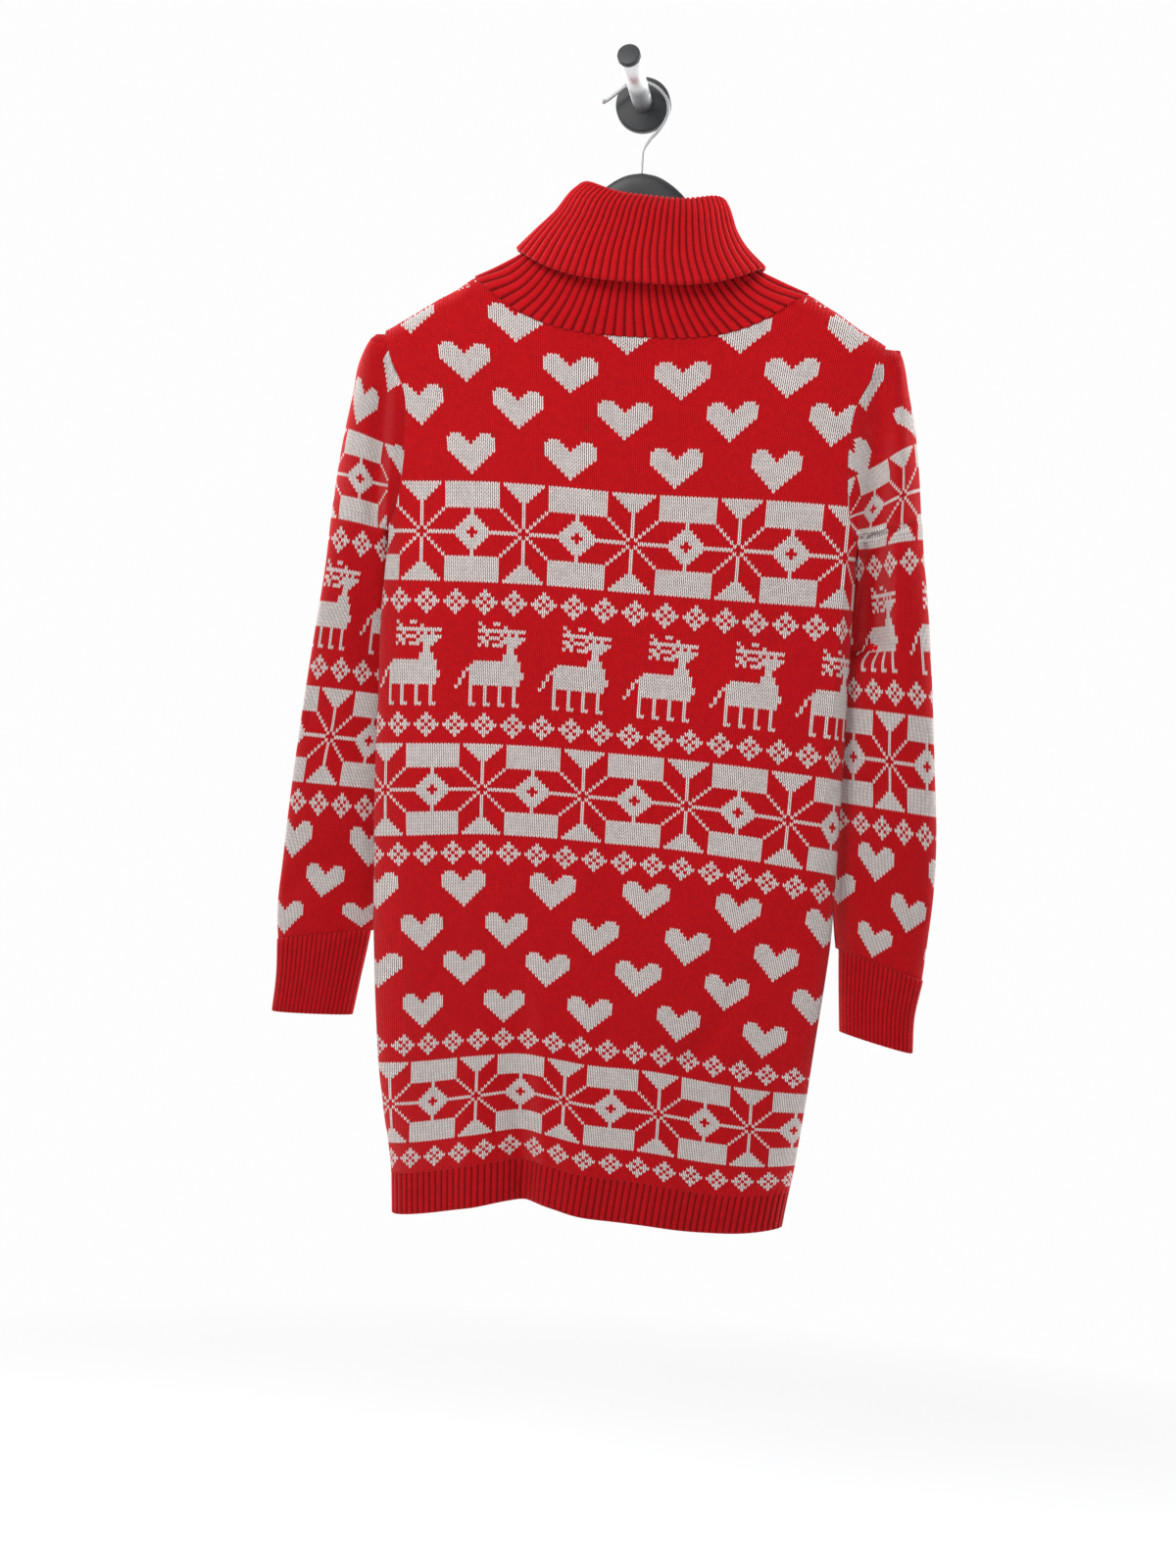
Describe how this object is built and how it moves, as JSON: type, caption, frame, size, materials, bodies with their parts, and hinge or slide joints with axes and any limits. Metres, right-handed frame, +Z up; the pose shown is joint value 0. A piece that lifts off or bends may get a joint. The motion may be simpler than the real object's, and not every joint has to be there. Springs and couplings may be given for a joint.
{
  "type": "christmas sweater dress on a hanger and wall hook",
  "caption": "Knitted roll-neck sweater dress with long sleeves and ribbed edges, hung on a moulded hanger from a round wall hook; the cloth is rigid.",
  "frame": {"origin": "centre of the wall plate's flat back face, on the wall plane", "axes": "+Z up along the hanging length, +Y into the wall, +X to the right as the garment's front is seen"},
  "size_m": [0.5905, 0.0935, 1.0379],
  "materials": {
    "red_knit": "matt plain knit in red and off-white yarn",
    "red_rib": "matt ribbed knit in red yarn",
    "black_plastic": "satin black",
    "satin_steel": "satin"
  },
  "bodies": {
    "root": {"front": "red_knit", "back": "red_knit", "hem_front": "red_rib", "hem_back": "red_rib", "sleeve_left": "red_knit", "sleeve_right": "red_knit", "cuff_left": "red_rib", "cuff_right": "red_rib", "collar": "red_rib", "hanger_body": "black_plastic", "hanger_hook": "satin_steel", "wall_plate": "black_plastic", "peg": "satin_steel", "peg_cap": "black_plastic"}
  },
  "joints": []
}
